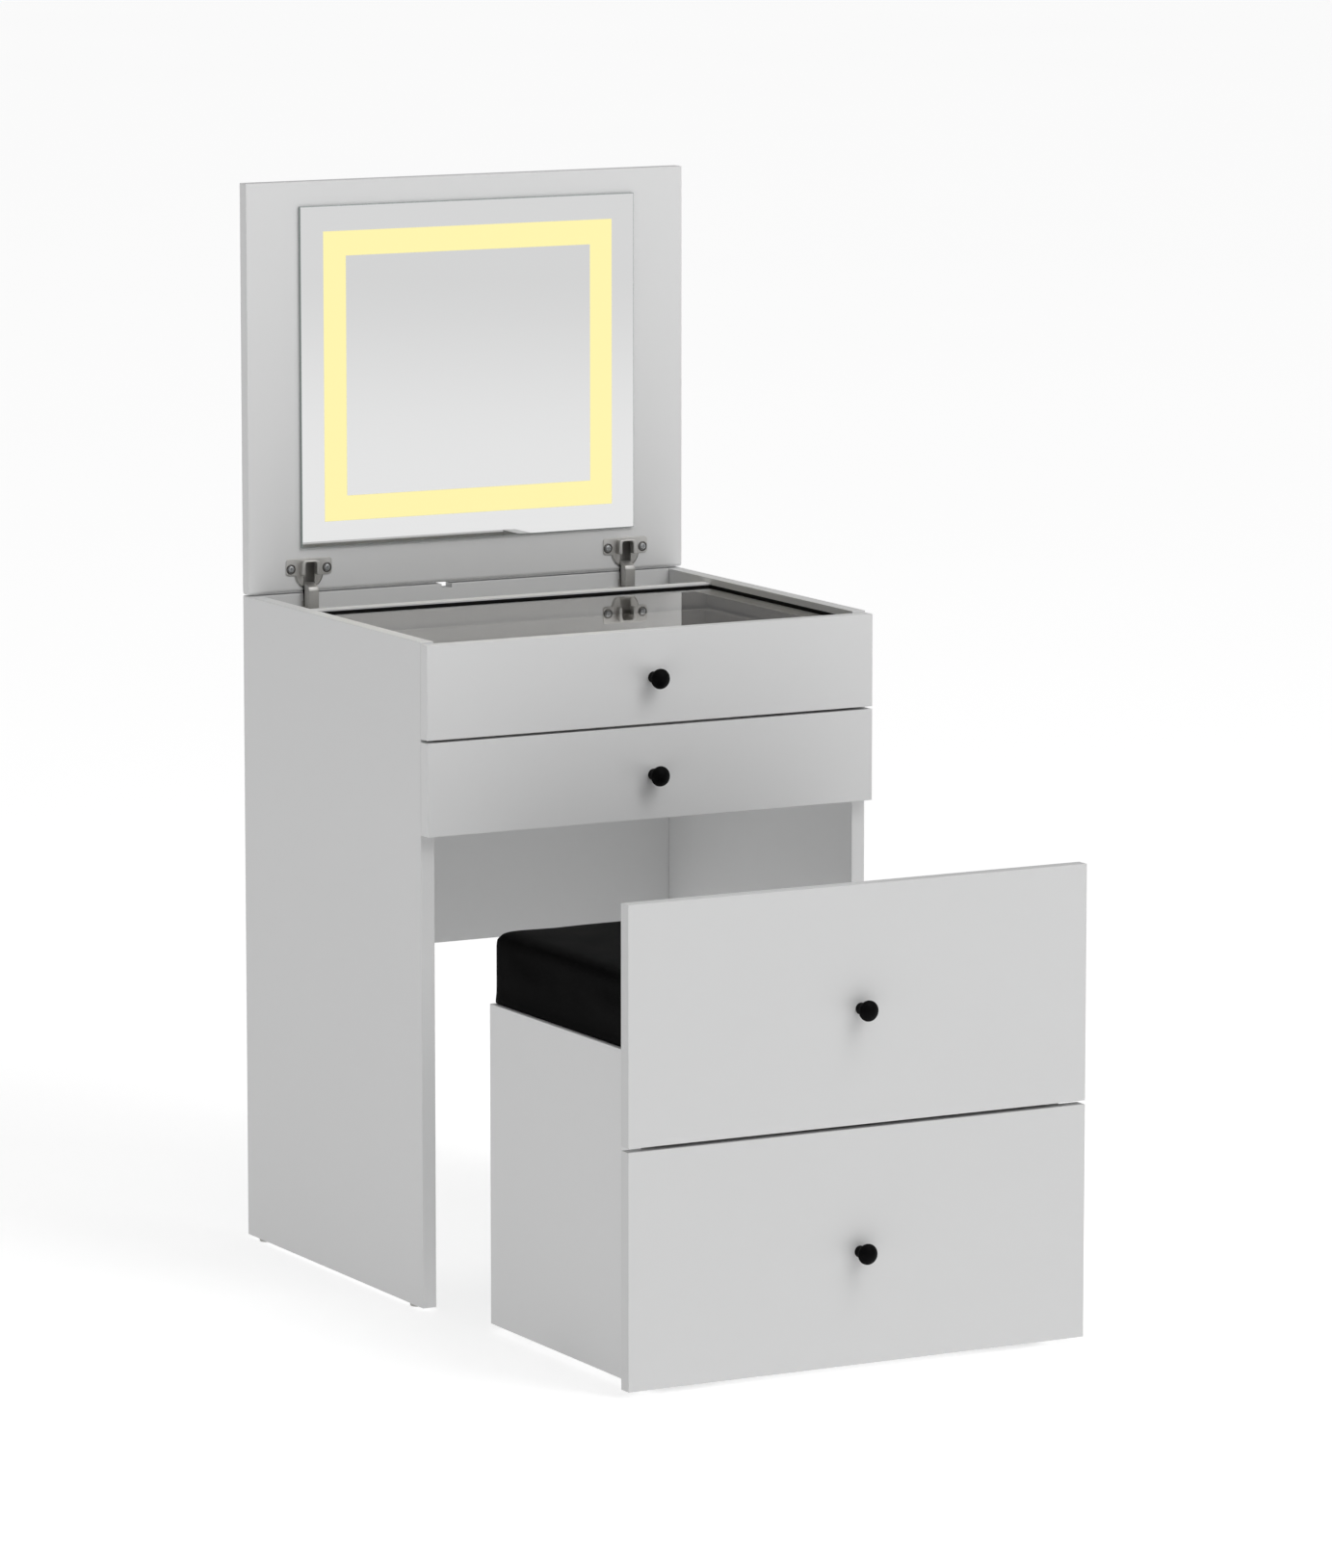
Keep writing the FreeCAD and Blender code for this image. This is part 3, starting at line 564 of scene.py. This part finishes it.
for drawer, height in KNOB_HEIGHTS:
    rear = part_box(drawer + "_front")[1].y
    piece(drawer + "_knob_screw", screw((0.0, rear - 0.0001, height), REAR, 0.0042, 0.0021),
          ZINC, drawer)
    low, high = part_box(drawer + "_runners")
    web = high.x - 0.0083
    piece(drawer + "_slide_screws",
          [screw((way * web, y, (low.z + high.z) / 2), (way, 0, 0), 0.0036, 0.0015)
           for way in (-1, 1) for y in (low.y + 0.022, (low.y + high.y) / 2, high.y - 0.022)],
          ZINC, drawer)

# ---------------------------------------------------------------- stool
# A white box on hidden castors. Its lower front is a drawer, and its tall upper front stands
# above the seat as a backrest. The two fronts are painted a greyer white than the other boards,
# a painted shade that holds them down where the lamps and the floor light them most.
for board in ("stool_side_left", "stool_side_right", "stool_rear_panel", "stool_bottom_panel",
              "stool_seat_board"):
    melamine(board)
for board in ("stool_drawer_front", "stool_backrest"):
    # Greyer face and banding on the two fronts are painted shade. The banding stays paler than the
    # face as a painted edge highlight.
    melamine(board, (0.665, 0.667, 0.667, 1.0), (0.70, 0.702, 0.702, 1.0))

# ---------------------------------------------------------------- seat cushion
# High-density foam on the seat board, wrapped in fine-grained black artificial leather that is
# pulled tight and stapled underneath.
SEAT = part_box("seat_cushion")
leather, feed, where = finish("black_leather", "black_leather", IOR=1.5, Specular_IOR_Level=0.012)
grain = where.node("ShaderNodeTexVoronoi", {"feature": "DISTANCE_TO_EDGE"},
                   {"Vector": where, "Scale": 620.0}, "Distance")
pores = where.noise(2400.0, 2.0)
worn = where.noise(14.0, 3.0)
feed(Base_Color=worn.colours((0.0012, 0.0012, 0.0012, 1.0), (0.0022, 0.0022, 0.0023, 1.0)),
     Roughness=0.40 + 0.14 * worn + 0.10 * pores,
     Normal=where.bump(grain.step(0.0, 0.25) * 0.00010 + pores * 0.00002))
coat("seat_cushion", leather)


def crowned(low, high, edge, foot, crown, waist, columns=46):
    """A grid over a closed block, each of its six sides one sheet. A point starts on the box.
    With o its reach past a core that lies inside the box by edge, and by foot at the bottom,
    it is drawn in until ((|ox|^5 + |oy|^5)^(2/5) + oz^2)^(1/2) is at most edge. With u, v, w
    its share of the half sizes, the top then rises by crown (1 - u^4)(1 - v^4), and the
    walls are pulled in by waist (1 - v^2) cos(w pi / 2) between two corners."""
    centre, half = (low + high) / 2, (high - low) / 2
    u = np.sin(np.linspace(-1.0, 1.0, columns) * np.pi / 2)
    a, b = [g.ravel() for g in np.meshgrid(u, u, indexing="ij")]
    one = np.ones_like(a)
    sheets = [(a, b, one), (b, a, -one), (one, a, b), (-one, b, a), (b, one, a), (a, -one, b)]
    place = np.concatenate([np.stack(sheet, 1) for sheet in sheets]) * half
    inner_low, inner_high = edge - half, half - edge
    inner_low[2] = foot - half[2]
    near = np.clip(place, inner_low, inner_high)
    out = place - near
    out[:, 2] *= np.where(out[:, 2] < 0, edge / foot, 1.0)
    plan = (abs(out[:, 0]) ** 5 + abs(out[:, 1]) ** 5) ** 0.4
    length = np.sqrt(plan + out[:, 2] ** 2)[:, None]
    out *= np.minimum(length, edge) / np.maximum(length, 1e-9)
    out[:, 2] *= np.where(out[:, 2] < 0, foot / edge, 1.0)
    place = near + out
    share = np.clip(place / half, -1.0, 1.0)
    place[:, 2] += crown * (1 - share[:, 0] ** 4) * (1 - share[:, 1] ** 4) * (share[:, 2] > 0.5)
    middle = np.cos(share[:, 2] * np.pi / 2)
    for i, j in ((0, 1), (1, 0)):
        place[:, i] -= waist * (1 - share[:, j] ** 2) * middle * share[:, i] ** 7
    grid = np.arange(columns * columns).reshape(columns, columns)
    corners = [grid[:-1, :-1], grid[1:, :-1], grid[1:, 1:], grid[:-1, 1:]]
    quads = np.stack(corners, -1).reshape(-1, 4)
    quads = np.concatenate([quads + i * columns * columns for i in range(6)])
    return place + centre, quads


def swollen(mesh, cap):
    """The mesh blown up like a stuffed cover. The movement is evened out between neighbours,
    fades out at the stapled lower edge, and never passes the cap."""
    pad = bpy.data.objects.new("stuffing", mesh)
    bpy.context.scene.collection.objects.link(pad)
    remesh = pad.modifiers.new("remesh", "REMESH")
    remesh.mode = "VOXEL"
    remesh.voxel_size = 0.005
    bpy.context.view_layer.update()
    start = bpy.data.meshes.new_from_object(
        pad.evaluated_get(bpy.context.evaluated_depsgraph_get()))
    pad.modifiers.clear()
    pad.data = start
    before = np.empty(len(start.vertices) * 3)
    start.vertices.foreach_get("co", before)
    cloth = pad.modifiers.new("cloth", "CLOTH")
    cloth.settings.use_pressure = True
    cloth.settings.uniform_pressure_force = 4.0
    cloth.settings.effector_weights.gravity = 0.0
    cloth.settings.quality = 6
    for step in range(1, 21):
        bpy.context.scene.frame_set(step)
    full = bpy.data.meshes.new_from_object(
        pad.evaluated_get(bpy.context.evaluated_depsgraph_get()))
    after = np.empty(len(full.vertices) * 3)
    full.vertices.foreach_get("co", after)
    bpy.data.objects.remove(pad)
    bpy.context.scene.frame_set(1)
    before, after = before.reshape(-1, 3), after.reshape(-1, 3)
    ends = np.empty(len(full.edges) * 2, int)
    full.edges.foreach_get("vertices", ends)
    ends = ends.reshape(-1, 2)
    move = after - before
    for _ in range(12):
        total, count = np.zeros_like(move), np.zeros(len(move))
        for i, j in ((0, 1), (1, 0)):
            np.add.at(total, ends[:, i], move[ends[:, j]])
            np.add.at(count, ends[:, i], 1)
        move = (move + total / count[:, None]) / 2
    height = (before[:, 2:3] - before[:, 2].min()) / 0.025
    move *= np.clip(height - 0.25, 0.0, 1.0)
    length = np.linalg.norm(move, axis=1)[:, None]
    return full, before + move / np.maximum(length, 1e-9) * cap * np.tanh(length / cap)


low = np.array(SEAT[0]) - (0.0018, 0.0, 0.0)
high = np.array(SEAT[1]) + (0.0018, 0.0012, 0.0022)
EDGE_ROUND, FOOT_ROUND, CROWN, WAIST = 0.0135, 0.0010, 0.0012, 0.0012
SUNK = 0.0030
points, quads = crowned(low + (0.0010, 0.0010, -SUNK), high - 0.0010, EDGE_ROUND, FOOT_ROUND,
                        CROWN, WAIST)
cover = bpy.data.meshes.new("cushion_start")
cover.from_pydata(points.tolist(), [], quads.tolist())
shell = bmesh.new()
shell.from_mesh(cover)
bmesh.ops.remove_doubles(shell, verts=shell.verts, dist=0.00001)
bmesh.ops.recalc_face_normals(shell, faces=shell.faces)
shell.to_mesh(cover)
shell.free()
cover, points = swollen(cover, cap=0.0014)
least, most = points.min(axis=0), points.max(axis=0)
least[2] = low[2]
points = low + (points - least) * (high - low) / (most - least)
points[:, 2] = np.maximum(points[:, 2], low[2] + 0.0002)
cover.vertices.foreach_set("co", points.ravel())
cover.update()
cushion = finished("cushion_cover", cover, leather, "stool", 180.0)
subdivision = cushion.modifiers.new("subdivision", "SUBSURF")
subdivision.levels = subdivision.render_levels = 1
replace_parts(cushion, "seat_cushion")

# ---------------------------------------------------------------- castors and glides
# Nylon wheels in pressed steel forks under the stool, and nail-on plastic glides under the
# table's side panels.
nylon, feed, where = finish("grey_nylon", "castor_plastic", IOR=1.5)
scuffs = where.noise(70.0, 4.0)
feed(Base_Color=scuffs.colours((0.030, 0.030, 0.032, 1.0), (0.060, 0.058, 0.056, 1.0)),
     Roughness=0.45 + 0.25 * scuffs, Normal=where.bump(scuffs * 0.0001))
for corner in ("front_left", "front_right", "rear_left", "rear_right"):
    coat("castor_wheel_" + corner, nylon)
coat("castor_brackets", ZINC)
coat("castor_axles", ZINC)
foot, feed, where = finish("pale_plastic", "glide_plastic", IOR=1.5)
rub = where.noise(120.0, 3.0)
feed(Base_Color=rub.colours((0.55, 0.55, 0.53, 1.0), (0.42, 0.42, 0.40, 1.0)),
     Roughness=0.45 + 0.2 * rub)
coat("floor_glides", foot)

# ---------------------------------------------------------------- room
# A seamless pale floor under a soft sky that is brighter overhead and in front, with a large
# softbox to the front right and a small one above. The camera has a long lens and looks from
# the left and a little above.
floor_mesh = bpy.data.meshes.new("floor")
floor_mesh.from_pydata([(-90, -90, 0), (90, -90, 0), (90, 90, 0), (-90, 90, 0)], [], [(0, 1, 2, 3)])
floor = bpy.data.objects.new("floor", floor_mesh)
bpy.context.scene.collection.objects.link(floor)
floor_paint, feed, where = finish("floor_paint", "floor", Emission_Strength=0.53,
                                  Emission_Color=(1.0, 1.0, 1.0, 1.0))
sweep = where.noise(0.6, 2.0)
feed(Base_Color=sweep.colours((0.80, 0.80, 0.80, 1.0), (0.82, 0.82, 0.82, 1.0)),
     Roughness=0.9 + 0.05 * sweep)
floor_mesh.materials.append(floor_paint)

world = bpy.data.worlds.new("studio")
bpy.context.scene.world = world
world.use_nodes = True
tree = world.node_tree
sky = Shade(tree, tree.nodes.new("ShaderNodeTexCoord").outputs["Generated"])
to_right, to_back, height = sky.split()
height = height.most(0.0)
ahead = (0.0 - to_back).most(0.0)
brightness = (0.10 + 0.15 * ahead + 0.80 * height * height) * (1.0 + 0.25 * to_right)
tree.links.new(brightness.socket, tree.nodes["Background"].inputs["Strength"])
tree.nodes["Background"].inputs["Color"].default_value = (1.0, 1.0, 1.0, 1.0)

for name, place, aim, size, watts in (
        ("key_softbox", (3.6, -6.8, 5.6), (0.0, 0.0, 0.6), 4.5, 110.0),
        ("top_softbox", (0.7, -1.6, 2.9), (0.0, 0.4, 0.8), 1.1, 15.0)):
    lamp_data = bpy.data.lights.new(name, "AREA")
    lamp_data.size = size
    lamp_data.energy = watts
    lamp = bpy.data.objects.new(name, lamp_data)
    bpy.context.scene.collection.objects.link(lamp)
    lamp.location = place
    lamp.rotation_euler = (Vector(aim) - lamp.location).to_track_quat("-Z", "Y").to_euler()

camera_data = bpy.data.cameras.new("camera")
camera_data.lens = 181.567
camera_data.sensor_width = 36.0
camera_data.clip_end = 400.0
camera = bpy.data.objects.new("camera", camera_data)
bpy.context.scene.collection.objects.link(camera)
camera.location = (-3.9649, -7.3488, 1.8466)
camera.rotation_euler = (math.radians(90.0 - 8.806), 0.0, math.radians(-28.406))
bpy.context.scene.camera = camera
bpy.context.scene.view_settings.view_transform = "Standard"
